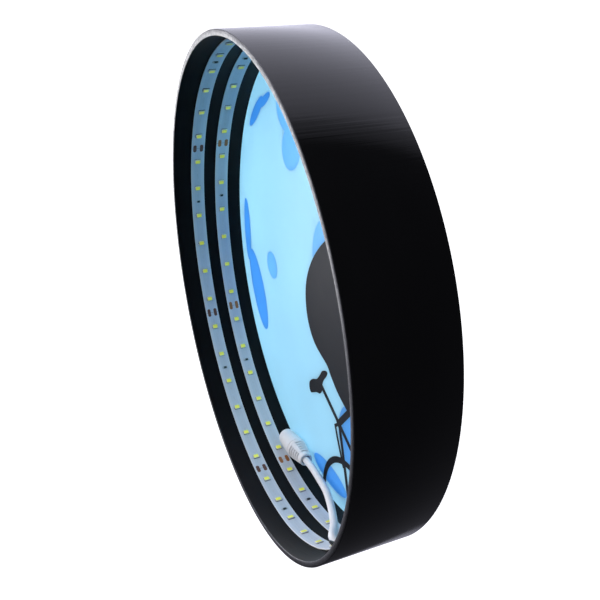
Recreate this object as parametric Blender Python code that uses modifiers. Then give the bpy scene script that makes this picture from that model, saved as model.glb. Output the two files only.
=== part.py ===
"""Round light-box sign: a black ring, a moon face with a dark picture, two LED strips and a supply lead.

Metres, +Z up. The ring's axis is Y. The face looks along -Y and the open back along +Y. The origin is
the middle of the ring. Angles round the ring are measured from +X towards +Z, so the bottom is -90.
"""

import math

import bmesh
import bpy
from mathutils import Matrix, Vector
from mathutils.geometry import delaunay_2d_cdt

MM = 0.001

# Housing ring
RING_RADIUS = 125.0 * MM
RING_BORE = 122.3 * MM
RING_DEPTH = 43.5 * MM
RIM_CHAMFER = 0.4 * MM
REBATE_RADIUS = 123.8 * MM
RING_STEPS = 80
REAR = RING_DEPTH / 2
FRONT = -RING_DEPTH / 2

# Face
GAP = 0.3 * MM
FACE_RADIUS = REBATE_RADIUS - GAP
FACE_THICKNESS = 1.2 * MM
FACE_BACK = FRONT + FACE_THICKNESS
INLAY_THICKNESS = 0.4 * MM
POCKET_DEPTH = INLAY_THICKNESS + GAP
PICTURE_RADIUS = 121.6 * MM
CUT_MARGIN = 1.0 * MM
ELLIPSE_POINTS = 28

# Each crater is one or two ellipses: centre x, centre z, half length, half width, tilt in degrees.
# Lengths here are millimetres.
DEEP_CRATERS = {
    "crater_top": [(11.5, 110.8, 15.0, 3.1, 2.5), (-5.0, 107.3, 9.5, 2.1, 12.0)],
    "crater_right_limb": [(83.0, 70.0, 20.5, 5.4, 131.5), (94.0, 33.0, 26.0, 11.3, 105.6)],
    "crater_rear_wheel": [(59.5, -89.5, 21.0, 6.5, 36.9)],
    "crater_left_limb": [(-97.0, 30.0, 24.0, 9.5, 75.0)],
    "crater_lower_left": [(-101.0, -34.0, 15.0, 7.0, 108.0)],
    "crater_front_wheel": [(-74.0, -84.0, 14.0, 6.0, -42.0)],
}
LIGHT_CRATERS = {
    "crater_small": [(56.5, 35.0, 8.0, 8.0, 0.0)],
    "crater_upper": [(-20.0, 69.5, 13.5, 10.3, 0.0), (-29.0, 88.0, 13.0, 12.5, 0.0)],
    "crater_tree": [(-27.0, 0.5, 25.0, 25.0, 0.0)],
    "crater_frame": [(8.0, -82.0, 22.5, 22.5, 0.0)],
    "crater_left_small": [(-66.0, 49.0, 7.5, 7.0, 0.0)],
    "crater_left_round": [(-84.0, -4.0, 10.0, 9.0, 0.0)],
}

# The picture's route points, x and z in millimetres.
TREE = [
    (25.5, -15.0), (24.3, -23.0), (20.5, -30.0), (16.5, -36.5), (15.5, -43.0), (13.0, -52.0),
    (8.5, -61.0), (3.0, -70.0), (1.0, -90.0), (4.0, -108.0), (14.0, -126.0), (-36.0, -126.0),
    (-26.0, -108.0), (-23.0, -90.0), (-25.0, -70.0), (-29.0, -58.0), (-36.0, -47.0), (-46.0, -38.0),
    (-57.0, -31.0), (-64.0, -21.0), (-64.5, -9.0), (-58.0, 2.5), (-46.0, 10.5), (-32.0, 14.5),
    (-18.0, 15.5), (-4.0, 14.0), (8.0, 10.0), (17.0, 3.5), (23.5, -6.0),
]
SADDLE = [
    (52.0, -41.0), (49.0, -38.2), (43.0, -38.0), (37.0, -39.3), (31.0, -38.6), (26.0, -37.5),
    (21.5, -38.3), (19.3, -39.9), (22.0, -41.2), (28.0, -42.3), (32.0, -44.2), (34.5, -46.6),
    (38.5, -47.2), (43.0, -45.5), (48.0, -44.6), (51.6, -43.7),
]
REAR_WHEEL = (47.0, -118.7)
FRONT_WHEEL = (-66.0, -118.7)
WHEEL_RADIUS = 36.15
TYRE_WIDTH = 3.5
WHEEL_POINTS = 60
CRANK_AXLE = (4.3, -112.0)
SEAT_JOINT = (24.6, -66.2)
HEAD_TOP = (-36.0, -57.3)
HEAD_FOOT = (-40.0, -69.0)
STEM_TOP = (-33.5, -48.5)
# Each bar of the bicycle: its two ends and its width.
BARS = [
    ((33.6, -42.5), CRANK_AXLE, 3.1),
    (SEAT_JOINT, HEAD_TOP, 3.7),
    (HEAD_TOP, HEAD_FOOT, 4.0),
    (HEAD_FOOT, CRANK_AXLE, 3.2),
    ((23.4, -66.8), (49.0, -120.0), 2.9),
    (HEAD_FOOT, (-54.0, -112.0), 2.6),
    (HEAD_TOP, STEM_TOP, 2.6),
    (STEM_TOP, (-43.0, -46.0), 2.6),
    ((-42.0, -45.6), (-47.5, -49.0), 2.6),
    (SEAT_JOINT, (29.6, -66.3), 1.8),
    ((29.6, -66.3), (31.6, -72.5), 1.9),
    ((31.6, -72.5), (35.2, -87.5), 2.0),
    (CRANK_AXLE, (-8.0, -104.5), 2.6),
    ((-12.0, -104.0), (-4.5, -104.5), 2.6),
]
CHAINRING_RADIUS = 8.0

# LED strips, wrapped round the inner wall. Heights are from the wall towards the middle.
STRIP_WIDTH = 8.0 * MM
SEGMENTS = 6
LEDS_PER_SEGMENT = 6
LED_PITCH = 18.52 * MM
SEGMENT_LENGTH = LEDS_PER_SEGMENT * LED_PITCH
STRIP_LENGTH = SEGMENTS * SEGMENT_LENGTH
STRIP_START = math.radians(-90.0)
# Each strip was stuck down by hand, so it starts a little to one side of the lowest point.
REAR_SHIFT = -1.4 * MM
FRONT_SHIFT = 0.7 * MM
WRAP_RADIUS = 121.4 * MM
REAR_STRIP_Y = 7.0 * MM
FRONT_STRIP_Y = -8.15 * MM
TAPE = (0.25 * MM, 0.4 * MM)
BOARD = (0.55 * MM, 0.75 * MM)
TRACK = (0.9 * MM, 1.0 * MM)
PACKAGE_TOP = 1.7 * MM
RESISTOR = (1.15 * MM, 1.7 * MM)
PACKAGE_LENGTH = 2.8 * MM
PACKAGE_WIDTH = 3.5 * MM
PACKAGE_DRAFT = 0.15 * MM
RESISTOR_SIZE = (1.3 * MM, 2.4 * MM)
RESISTOR_PLACE = 4.0 * LED_PITCH
# The rear strip's first end was stuck on by hand: it drifts sideways and stands off the wall a little.
END_LIFT = 1.0 * MM
END_LIFT_LENGTH = 26.0 * MM
END_DRIFT = -2.0 * MM
END_DRIFT_LENGTH = 62.0 * MM

# Solder joints and jumpers at the strips' first end
PAD_S = 2.5 * MM
PAD_SPREAD = 2.0 * MM
BLOB = (1.3 * MM, 0.6 * MM, 1.15 * MM)
JUMPER_RADIUS = 0.55 * MM
NEGATIVE_TURN = (-3.2 * MM, 3.2 * MM)
POSITIVE_TURN = (-1.2 * MM, 1.2 * MM)
CORE_RADIUS = 0.6 * MM

# Supply lead: the route's own points, x, y and z in millimetres, from the solder to the jack.
LEAD_ROUTE = [
    (14.6, 3.0, -117.2), (19.2, 0.1, -116.2), (25.6, -3.7, -113.6), (31.9, -6.4, -110.4),
    (38.8, -9.2, -106.0), (44.2, -11.1, -102.1), (51.2, -13.1, -96.8), (59.4, -14.0, -90.3),
    (67.2, -14.4, -83.7), (72.9, -14.25, -79.2), (76.1, -14.2, -76.8),
]
LEAD_RADIUS = 2.1 * MM
LEAD_POINTS = 24

# Supply jack. Its own Z runs out of the mouth, and heights are from the mouth.
JACK_MOUTH = (99.5, -14.1, -60.4)
JACK_TAIL = (74.1, -14.2, -78.2)
JACK_LENGTH = 31.0 * MM
JACK_BORE = 3.6 * MM
JACK_BORE_DEPTH = 14.0 * MM
JACK_STEPS = 24
TAIL_BORE = 2.7 * MM
TAIL_BORE_DEPTH = 3.0 * MM
SOCKET_RADIUS = 2.85 * MM
PIN_RADIUS = 1.0 * MM
SLOT_HALF_WIDTH = 1.4 * MM
SPRING_WIDTH = 2.2 * MM
SPRING_THICKNESS = 0.25 * MM
SPRING_ROOT = -9.8 * MM
SPRING_PIVOT_RADIUS = 2.75 * MM
TERMINAL_TOP = SPRING_ROOT - GAP

COLOURS = {
    "black_plastic": ((0.012, 0.012, 0.014), 0.45, 0.0),
    "face_blue": ((0.32, 0.72, 0.93), 0.5, 0.0),
    "crater_deep": ((0.06, 0.29, 0.83), 0.5, 0.0),
    "crater_light": ((0.20, 0.52, 0.98), 0.5, 0.0),
    "picture_dark": ((0.03, 0.035, 0.045), 0.4, 0.0),
    "strip_white": ((0.62, 0.70, 0.80), 0.45, 0.0),
    "tape": ((0.55, 0.55, 0.52), 0.6, 0.0),
    "led": ((0.62, 0.66, 0.12), 0.35, 0.0),
    "resistor": ((0.02, 0.02, 0.02), 0.4, 0.0),
    "solder": ((0.55, 0.55, 0.56), 0.3, 1.0),
    "wire_red": ((0.45, 0.02, 0.02), 0.4, 0.0),
    "wire_black": ((0.02, 0.02, 0.02), 0.4, 0.0),
    "white_vinyl": ((0.75, 0.75, 0.76), 0.4, 0.0),
    "contact": ((0.75, 0.72, 0.65), 0.25, 1.0),
}


def clear_scene():
    for obj in list(bpy.data.objects):
        bpy.data.objects.remove(obj, do_unlink=True)


def new_collection(name):
    collection = bpy.data.collections.new(name)
    bpy.context.scene.collection.children.link(collection)
    return collection


def new_material(name):
    colour, roughness, metallic = COLOURS[name]
    made = bpy.data.materials.new(name)
    made.use_nodes = True
    shader = made.node_tree.nodes["Principled BSDF"]
    shader.inputs["Base Color"].default_value = (*colour, 1.0)
    shader.inputs["Roughness"].default_value = roughness
    shader.inputs["Metallic"].default_value = metallic
    return made


clear_scene()
PARTS = new_collection("light_box_sign")
CUTTERS = new_collection("cutters")
MATERIALS = {name: new_material(name) for name in COLOURS}


def add_part(name, data, material):
    """A node of the sign, from a mesh or a curve."""
    obj = bpy.data.objects.new(name, data)
    data.materials.append(MATERIALS[material])
    PARTS.objects.link(obj)
    return obj


def add_cutter(name, data):
    obj = bpy.data.objects.new(name, data)
    obj.display_type = "WIRE"
    obj.hide_render = True
    CUTTERS.objects.link(obj)
    return obj


def boolean(obj, operation, other):
    modifier = obj.modifiers.new(other.name, "BOOLEAN")
    modifier.operation = operation
    modifier.solver = "EXACT"
    modifier.object = other


def baked(obj):
    """The object's mesh with its modifiers or its curve worked out. The object itself is removed."""
    bpy.context.view_layer.update()
    graph = bpy.context.evaluated_depsgraph_get()
    mesh = bpy.data.meshes.new_from_object(obj.evaluated_get(graph))
    mesh.transform(obj.matrix_world)
    mesh.name = obj.name
    mesh.materials.clear()
    bpy.data.objects.remove(obj, do_unlink=True)
    work = bmesh.new()
    work.from_mesh(mesh)
    bmesh.ops.remove_doubles(work, verts=work.verts, dist=0.001 * MM)
    bmesh.ops.recalc_face_normals(work, faces=work.faces)
    work.to_mesh(mesh)
    work.free()
    return mesh


def shade_round(mesh, angle=35.0):
    mesh.shade_smooth()
    mesh.set_sharp_from_angle(angle=math.radians(angle))


def flat_curve(name, loops, half):
    """A 2D curve of closed loops, filled, with a thickness of twice half along its own Z."""
    curve = bpy.data.curves.new(name, "CURVE")
    curve.dimensions = "2D"
    curve.fill_mode = "BOTH"
    curve.extrude = half
    for loop in loops:
        spline = curve.splines.new("POLY")
        spline.points.add(len(loop) - 1)
        for point, (x, y) in zip(spline.points, loop):
            point.co = (x, y, 0.0, 1.0)
        spline.use_cyclic_u = True
    return curve


def plate(name, loops, y_low, y_high):
    """A mesh of the loops, given as x and z, between two places along the ring's axis."""
    turned_loops = [[(x, -z) for x, z in loop] for loop in loops]
    curve = flat_curve(name, turned_loops, (y_high - y_low) / 2)
    obj = add_cutter(name, curve)
    obj.rotation_euler = (math.radians(-90.0), 0.0, 0.0)
    obj.location = (0.0, (y_low + y_high) / 2, 0.0)
    return baked(obj)


def turned(name, profile, steps, material):
    """A closed profile of radius and height, screwed round its own Z. It goes down its outer side first."""
    mesh = bpy.data.meshes.new(name)
    points = [(radius, 0.0, height) for radius, height in profile]
    edges = [(i, (i + 1) % len(points)) for i in range(len(points))]
    off_axis = [edge for edge in edges if any(points[i][0] > 0 for i in edge)]
    mesh.from_pydata(points, off_axis, [])
    obj = add_part(name, mesh, material)
    screw = obj.modifiers.new("Screw", "SCREW")
    screw.axis = "Z"
    screw.steps = steps
    screw.render_steps = steps
    screw.use_merge_vertices = True
    screw.merge_threshold = 0.001 * MM
    screw.use_smooth_shade = True
    return obj


def smooth_loop(points, per_span=2):
    """A closed Catmull-Rom curve through hand-chosen points."""
    count = len(points)
    loop = []
    for i in range(count):
        before, start, end, after = (Vector(points[(i + k) % count]) for k in (-1, 0, 1, 2))
        for step in range(per_span):
            t = step / per_span
            point = start * 2 + (end - before) * t
            point += (before * 2 - start * 5 + end * 4 - after) * t**2
            point += (start * 3 - before - end * 3 + after) * t**3
            loop.append(tuple(point / 2))
    return loop


def smooth_route(points, count):
    """Evenly spaced points on a Catmull-Rom curve through an open route."""
    route = [Vector(point) * MM for point in points]
    padded = [route[0] * 2 - route[1]] + route + [route[-1] * 2 - route[-2]]
    fine = []
    for before, start, end, after in zip(padded, padded[1:], padded[2:], padded[3:]):
        for step in range(20):
            t = step / 20
            point = start * 2 + (end - before) * t
            point += (before * 2 - start * 5 + end * 4 - after) * t**2
            point += (start * 3 - before - end * 3 + after) * t**3
            fine.append(point / 2)
    fine.append(route[-1])
    reach = [0.0]
    for start, end in zip(fine, fine[1:]):
        reach.append(reach[-1] + (end - start).length)
    picked = []
    for i in range(count):
        place = reach[-1] * i / (count - 1)
        k = next(j for j in range(1, len(reach)) if reach[j] >= place - 1e-9)
        share = (place - reach[k - 1]) / (reach[k] - reach[k - 1])
        picked.append(fine[k - 1].lerp(fine[k], share))
    return picked


def tube(name, points, radius, material):
    """A round wire with filled ends through the given points."""
    curve = bpy.data.curves.new(name, "CURVE")
    curve.dimensions = "3D"
    curve.bevel_depth = radius
    curve.bevel_resolution = 2
    curve.use_fill_caps = True
    spline = curve.splines.new("POLY")
    spline.points.add(len(points) - 1)
    for point, place in zip(spline.points, points):
        point.co = (*place, 1.0)
    return add_part(name, curve, material)


# The housing ring ---------------------------------------------------------------------------------


def add_housing_ring():
    """The black wall, with a rebate round its front that holds the face."""
    shoulder = FACE_BACK + GAP
    profile = [
        (RING_RADIUS - RIM_CHAMFER, REAR),
        (RING_RADIUS, REAR - RIM_CHAMFER),
        (RING_RADIUS, FRONT + RIM_CHAMFER),
        (RING_RADIUS - RIM_CHAMFER, FRONT),
        (REBATE_RADIUS, FRONT),
        (REBATE_RADIUS, shoulder),
        (RING_BORE, shoulder),
        (RING_BORE, REAR - RIM_CHAMFER),
        (RING_BORE + RIM_CHAMFER, REAR),
    ]
    ring = turned("housing_ring", profile, RING_STEPS, "black_plastic")
    ring.rotation_euler = (math.radians(-90.0), 0.0, 0.0)


# The face and its picture ----------------------------------------------------------------------------


def ellipse(centre_x, centre_z, half_length, half_width, tilt, grow=0.0):
    """An ellipse's outline in metres from its size in millimetres, made larger all round by grow."""
    turn = math.radians(tilt)
    loop = []
    for i in range(ELLIPSE_POINTS):
        angle = 2 * math.pi * i / ELLIPSE_POINTS
        along = (half_length + grow) * math.cos(angle)
        across = (half_width + grow) * math.sin(angle)
        x = centre_x + along * math.cos(turn) - across * math.sin(turn)
        z = centre_z + along * math.sin(turn) + across * math.cos(turn)
        loop.append((x * MM, z * MM))
    return loop


def grown(loop, distance):
    """The loop moved outwards by a distance. The loop is closed, in millimetres, either way round."""
    area = 0.0
    for (x0, z0), (x1, z1) in zip(loop, loop[1:] + loop[:1]):
        area += x0 * z1 - x1 * z0
    side = math.copysign(distance, area)
    moved = []
    for before, here, after in zip(loop[-1:] + loop[:-1], loop, loop[1:] + loop[:1]):
        run_x = after[0] - before[0]
        run_z = after[1] - before[1]
        length = math.hypot(run_x, run_z)
        moved.append((here[0] + run_z / length * side, here[1] - run_x / length * side))
    return moved


def in_metres(loop):
    return [(x * MM, z * MM) for x, z in loop]


def bar_loop(start, end, width):
    """A bar's outline in millimetres, a little longer than its two ends so that bars join."""
    along = (Vector(end) - Vector(start)).normalized()
    across = Vector((-along.y, along.x)) * width / 2
    first = Vector(start) - along * 0.4 * width
    last = Vector(end) + along * 0.4 * width
    return [tuple(first + across), tuple(first - across), tuple(last - across), tuple(last + across)]


def circle(centre, radius):
    loop = []
    for i in range(WHEEL_POINTS):
        angle = 2 * math.pi * i / WHEEL_POINTS
        loop.append((centre[0] + radius * math.cos(angle), centre[1] + radius * math.sin(angle)))
    return loop


def picture_shapes(grow):
    """The dark picture's outlines in millimetres, grown all round, and the holes inside its wheels."""
    outlines = [grown(smooth_loop(TREE), grow), grown(smooth_loop(SADDLE), grow)]
    holes = []
    for hub in (REAR_WHEEL, FRONT_WHEEL):
        outlines.append(circle(hub, WHEEL_RADIUS + TYRE_WIDTH / 2 + grow))
        holes.append(circle(hub, WHEEL_RADIUS - TYRE_WIDTH / 2 - grow))
    for start, end, width in BARS:
        outlines.append(bar_loop(start, end, width + 2 * grow))
    outlines.append(circle(CRANK_AXLE, CHAINRING_RADIUS + grow))
    return outlines, holes


def turned_left(loop):
    """The loop, run so that its inside is on its left."""
    area = sum(a[0] * b[1] - b[0] * a[1] for a, b in zip(loop, loop[1:] + loop[:1]))
    return loop if area > 0 else loop[::-1]


def picture_mesh(name, grow, y_low, y_high, radius):
    """All the picture's shapes joined into one plate, and cut off round the edge of the face.

    A wheel's hole belongs to its own wheel only, so the bars and the tree still cross it.
    """
    outlines, holes = picture_shapes(grow)
    wheels = {2: len(outlines), 3: len(outlines) + 1}
    edge = len(outlines) + len(holes)
    points = []
    loops = []
    for loop in outlines + holes + [circle((0.0, 0.0), radius / MM)]:
        first = len(points)
        points += [Vector(point) for point in turned_left(loop)]
        loops.append(list(range(first, len(points))))
    flat = delaunay_2d_cdt(points, [], loops, 1, 0.001)
    work = bmesh.new()
    corners = [work.verts.new((point.x * MM, y_low, point.y * MM)) for point in flat[0]]
    for triangle, inside in zip(flat[2], flat[5]):
        shapes = set(inside) - {edge} - set(wheels.values())
        shapes -= {wheel for wheel, hole in wheels.items() if hole in inside}
        if shapes and edge in inside:
            work.faces.new([corners[i] for i in triangle])
    loose = [corner for corner in corners if not corner.link_faces]
    bmesh.ops.delete(work, geom=loose, context="VERTS")
    bmesh.ops.dissolve_limit(work, angle_limit=0.01, verts=work.verts, edges=work.edges)
    raised = bmesh.ops.extrude_face_region(work, geom=work.faces[:], use_keep_orig=True)
    for item in raised["geom"]:
        if isinstance(item, bmesh.types.BMVert):
            item.co.y = y_high
    bmesh.ops.recalc_face_normals(work, faces=work.faces)
    mesh = bpy.data.meshes.new(name)
    work.to_mesh(mesh)
    work.free()
    return mesh


def crater_mesh(name, ellipses, grow, y_low, y_high):
    """One crater: its ellipses joined."""
    meshes = []
    for number, sizes in enumerate(ellipses):
        meshes.append(plate(f"{name}_{number}", [ellipse(*sizes, grow)], y_low, y_high))
    if len(meshes) == 1:
        return meshes[0]
    first = add_cutter(f"{name}_first", meshes[0])
    second = add_cutter(f"{name}_second", meshes[1])
    boolean(first, "UNION", second)
    united = baked(first)
    bpy.data.objects.remove(second, do_unlink=True)
    return united


def add_face():
    """The light-blue disc, with a through hole for each crater and a pocket behind for the picture."""
    edge = []
    for i in range(RING_STEPS):
        angle = 2 * math.pi * i / RING_STEPS
        edge.append((FACE_RADIUS * math.cos(angle), FACE_RADIUS * math.sin(angle)))
    face = add_part("face_panel", plate("face_panel", [edge], FRONT, FACE_BACK), "face_blue")

    floor = FACE_BACK - POCKET_DEPTH
    pocket_mesh = picture_mesh("picture_pocket", GAP / MM, floor, FACE_BACK + CUT_MARGIN, PICTURE_RADIUS + GAP)
    pocket = add_cutter("picture_pocket", pocket_mesh)
    boolean(face, "DIFFERENCE", pocket)

    for craters, material in ((DEEP_CRATERS, "crater_deep"), (LIGHT_CRATERS, "crater_light")):
        for name, ellipses in craters.items():
            hole_mesh = crater_mesh(name, ellipses, GAP / MM, FRONT - CUT_MARGIN, FACE_BACK + CUT_MARGIN)
            boolean(face, "DIFFERENCE", add_cutter(f"{name}_hole", hole_mesh))
            crater = add_part(name, crater_mesh(name, ellipses, 0.0, FRONT, FACE_BACK), material)
            boolean(crater, "DIFFERENCE", pocket)

    picture = picture_mesh("tree_and_bicycle", 0.0, FACE_BACK - INLAY_THICKNESS, FACE_BACK, PICTURE_RADIUS)
    add_part("tree_and_bicycle", picture, "picture_dark")


# The LED strips -------------------------------------------------------------------------------------


def ease(share):
    """A smooth step from 0 to 1."""
    share = min(max(share, 0.0), 1.0)
    return share * share * (3 - 2 * share)


def drift(s):
    """How far the loose end of the rear strip has moved along the ring's axis."""
    return END_DRIFT * ease(1 - s / END_DRIFT_LENGTH)


def on_wall(s, height, across, centre_y, loose_end):
    """The place that is s along a strip, a height above the wall, and across from its middle."""
    radius = RING_BORE - height
    y = centre_y - across
    shift = FRONT_SHIFT
    if loose_end:
        shift = REAR_SHIFT
        radius -= END_LIFT * ease(1 - s / END_LIFT_LENGTH)
        y += drift(s)
    angle = STRIP_START + (s + shift) / WRAP_RADIUS
    return Vector((radius * math.cos(angle), y, radius * math.sin(angle)))


def strip_piece(name, outline, width, material, centre_y, loose_end):
    """A piece with the given side outline, in s and height, wrapped round the wall."""
    places = [on_wall(s, height, 0.0, centre_y, loose_end) for s, height in outline]
    loop = [(place.x, place.z) for place in places]
    mesh = plate(name, [loop], centre_y - width / 2, centre_y + width / 2)
    if loose_end:
        for vertex in mesh.vertices:
            turn = math.atan2(vertex.co.z, vertex.co.x) - STRIP_START
            turn = (turn + 0.1) % (2 * math.pi) - 0.1
            vertex.co.y += drift(turn * WRAP_RADIUS - REAR_SHIFT)
    return add_part(name, mesh, material)


def band_outline(start, end, layer, steps):
    low, high = layer
    places = [start + (end - start) * i / steps for i in range(steps + 1)]
    return [(s, low) for s in places] + [(s, high) for s in reversed(places)]


def segment_outline(start):
    """Six LED packages on the copper track that joins them, seen from the side."""
    half = PACKAGE_LENGTH / 2
    low, high = TRACK
    end = start + SEGMENT_LENGTH
    margin = 4.2 * MM
    outline = [(start + margin, low)]
    for i in range(1, 2 * LEDS_PER_SEGMENT):
        outline.append((start + i * LED_PITCH / 2, low))
    outline.append((end - margin, low))
    outline.append((end - margin, high))
    for i in reversed(range(LEDS_PER_SEGMENT)):
        middle = start + (i + 0.5) * LED_PITCH
        outline.append((middle + half, high))
        outline.append((middle + half - PACKAGE_DRAFT, PACKAGE_TOP))
        outline.append((middle - half + PACKAGE_DRAFT, PACKAGE_TOP))
        outline.append((middle - half, high))
        if i:
            outline.append((start + i * LED_PITCH, high))
    outline.append((start + margin, high))
    return outline


def add_strip(place, centre_y, loose_end):
    """One strip: its sticky tape, its board, and each segment's LEDs and resistor."""
    steps = 2 * SEGMENTS * LEDS_PER_SEGMENT
    tape = band_outline(0.0, STRIP_LENGTH, TAPE, steps)
    strip_piece(f"strip_tape_{place}", tape, STRIP_WIDTH - 2 * GAP, "tape", centre_y, loose_end)
    board = band_outline(0.0, STRIP_LENGTH, BOARD, steps)
    strip_piece(f"strip_board_{place}", board, STRIP_WIDTH, "strip_white", centre_y, loose_end)
    for number in range(SEGMENTS):
        start = number * SEGMENT_LENGTH
        name = f"led_segment_{place}_{number + 1}"
        strip_piece(name, segment_outline(start), PACKAGE_WIDTH, "led", centre_y, loose_end)
        middle = start + RESISTOR_PLACE
        length, width = RESISTOR_SIZE
        outline = band_outline(middle - length / 2, middle + length / 2, RESISTOR, 1)
        strip_piece(f"resistor_{place}_{number + 1}", outline, width, "resistor", centre_y, loose_end)


# Solder joints, jumpers and the lead's cores ---------------------------------------------------------


def pad_place(strip, sign, s, height):
    """A place above a strip's first solder pads. The negative pad is the one nearer the open back."""
    centre_y, loose_end = {"rear": (REAR_STRIP_Y, True), "front": (FRONT_STRIP_Y, False)}[strip]
    across = PAD_SPREAD if sign == "positive" else -PAD_SPREAD
    return on_wall(s, height, across, centre_y, loose_end)


def add_solder(strip, sign):
    mesh = bpy.data.meshes.new(f"solder_{strip}_{sign}")
    work = bmesh.new()
    bmesh.ops.create_uvsphere(work, u_segments=10, v_segments=6, radius=1.0)
    for vertex in work.verts:
        vertex.co = (vertex.co.x * BLOB[0], vertex.co.y * BLOB[2], vertex.co.z * BLOB[1])
    work.to_mesh(mesh)
    work.free()
    shade_round(mesh, 60.0)
    blob = add_part(mesh.name, mesh, "solder")
    blob.location = pad_place(strip, sign, PAD_S, TRACK[0] + BLOB[1])


def add_jumper(sign, turn_s, turn_height, material):
    """A short wire that feeds the front strip from the rear one, round their first ends.

    The negative wire turns further out, and crosses above the positive one where it comes back.
    """
    height = TRACK[0] + BLOB[1]
    wire_end = PAD_S - BLOB[0] - GAP
    bend_s = POSITIVE_TURN[0]
    rear = [pad_place("rear", sign, wire_end, height), pad_place("rear", sign, bend_s / 2, height)]
    front = [pad_place("front", sign, bend_s, turn_height), pad_place("front", sign, wire_end, height)]
    start = pad_place("rear", sign, turn_s, turn_height)
    end = pad_place("front", sign, turn_s, turn_height)
    bends = [start.lerp(end, share) for share in (0.08, 0.3, 0.6, 0.9)]
    route = [tuple(point / MM) for point in rear + bends + front]
    tube(f"jumper_{sign}", smooth_route(route, 15), JUMPER_RADIUS, material)


def add_core(sign, material, offset):
    """One of the lead's two cores, from the end of the jacket to its solder joint."""
    start = Vector(LEAD_ROUTE[0]) * MM
    away = (start - Vector(LEAD_ROUTE[1]) * MM).normalized()
    start = start + Vector(offset) * MM + away * GAP
    end = pad_place("rear", sign, PAD_S + BLOB[0] + GAP + 0.2 * MM, TRACK[0] + 2.1 * BLOB[1])
    route = [start, start + away * 2.5 * MM, end + Vector((3.2, 0.0, 1.8)) * MM, end]
    tube(f"lead_core_{sign}", smooth_route([tuple(point / MM) for point in route], 12), CORE_RADIUS, material)


def add_wiring():
    for strip in ("rear", "front"):
        for sign in ("positive", "negative"):
            add_solder(strip, sign)
    add_jumper("positive", *POSITIVE_TURN, "wire_red")
    add_jumper("negative", *NEGATIVE_TURN, "wire_black")
    add_core("positive", "wire_red", (-0.3, -0.8, -0.3))
    add_core("negative", "wire_black", (0.3, 0.8, 0.3))
    tube("lead_jacket", smooth_route(LEAD_ROUTE, LEAD_POINTS), LEAD_RADIUS, "white_vinyl")


# The supply jack -------------------------------------------------------------------------------------


def jack_frame():
    """An empty at the middle of the jack's mouth, with its Z out of the mouth."""
    frame = bpy.data.objects.new("jack_frame", None)
    PARTS.objects.link(frame)
    mouth = Vector(JACK_MOUTH) * MM
    axis = (mouth - Vector(JACK_TAIL) * MM).normalized()
    side = axis.cross(Vector((0.0, 1.0, 0.0))).normalized()
    up = axis.cross(side)
    turn = Matrix((side, up, axis)).transposed().to_4x4()
    frame.matrix_world = Matrix.Translation(mouth) @ turn
    return frame


def box_mesh(name, low, high):
    """A box between two corners."""
    mesh = bpy.data.meshes.new(name)
    work = bmesh.new()
    bmesh.ops.create_cube(work, size=1.0)
    size = Vector(high) - Vector(low)
    middle = (Vector(high) + Vector(low)) / 2
    for vertex in work.verts:
        vertex.co = Vector((vertex.co.x * size.x, vertex.co.y * size.y, vertex.co.z * size.z)) + middle
    work.to_mesh(mesh)
    work.free()
    return mesh


def add_jack_shell(frame):
    """The white moulding: a barrel that widens to a groove, then a slotted tail for the lead."""
    profile = [
        (4.45, 0.0),
        (4.75, -0.35),
        (4.9, -1.0),
        (6.05, -16.0),
        (5.7, -16.2),
        (5.7, -16.7),
        (6.05, -16.9),
        (5.8, -18.6),
        (3.75, -30.4),
        (3.5, -31.0),
    ]
    profile = [(radius * MM, height * MM) for radius, height in profile]
    tail = -JACK_LENGTH
    profile += [(TAIL_BORE, tail), (TAIL_BORE, tail + TAIL_BORE_DEPTH), (0.0, tail + TAIL_BORE_DEPTH)]
    profile += [(0.0, -JACK_BORE_DEPTH), (JACK_BORE, -JACK_BORE_DEPTH), (JACK_BORE, 0.0)]
    shell = turned("jack_shell", profile, JACK_STEPS, "white_vinyl")
    shell.parent = frame
    for row in range(4):
        for side in range(4):
            height = (-20.3 - 2.0 * row) * MM
            outer = (5.8 + (height / MM + 18.6) * 0.174) * MM
            name = f"relief_slot_{row}_{side}"
            low = (outer - 0.6 * MM, -2.1 * MM, height - 0.4 * MM)
            high = (outer + 2.0 * MM, 2.1 * MM, height + 0.4 * MM)
            slot = add_cutter(name, box_mesh(name, low, high))
            slot.rotation_euler = (0.0, 0.0, math.radians(90.0 * side + 15.0))
            slot.parent = frame
            boolean(shell, "DIFFERENCE", slot)


def add_jack_socket(frame):
    """The insulator: a cup with a hole for the pin and a slot for the spring contact."""
    outer = JACK_BORE - GAP
    floor = -12.0 * MM
    inner_floor = -10.6 * MM
    hole = PIN_RADIUS + GAP
    profile = [
        (outer, -0.4 * MM),
        (outer, floor),
        (hole, floor),
        (hole, inner_floor),
        (SOCKET_RADIUS, inner_floor),
        (SOCKET_RADIUS, -0.4 * MM),
    ]
    socket = turned("jack_socket", profile, JACK_STEPS, "wire_black")
    socket.parent = frame
    slot_low = (2.1 * MM, -SLOT_HALF_WIDTH, floor - CUT_MARGIN)
    slot_high = (JACK_BORE + CUT_MARGIN, SLOT_HALF_WIDTH, -1.6 * MM)
    slot = add_cutter("socket_slot", box_mesh("socket_slot", slot_low, slot_high))
    slot.parent = frame
    boolean(socket, "DIFFERENCE", slot)


def add_jack_pin(frame):
    profile = [
        (0.0, -1.6 * MM),
        (0.55 * MM, -1.7 * MM),
        (PIN_RADIUS, -2.3 * MM),
        (PIN_RADIUS, -13.6 * MM),
        (0.0, -13.6 * MM),
    ]
    pin = turned("jack_centre_pin", profile, 20, "contact")
    pin.parent = frame


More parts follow.
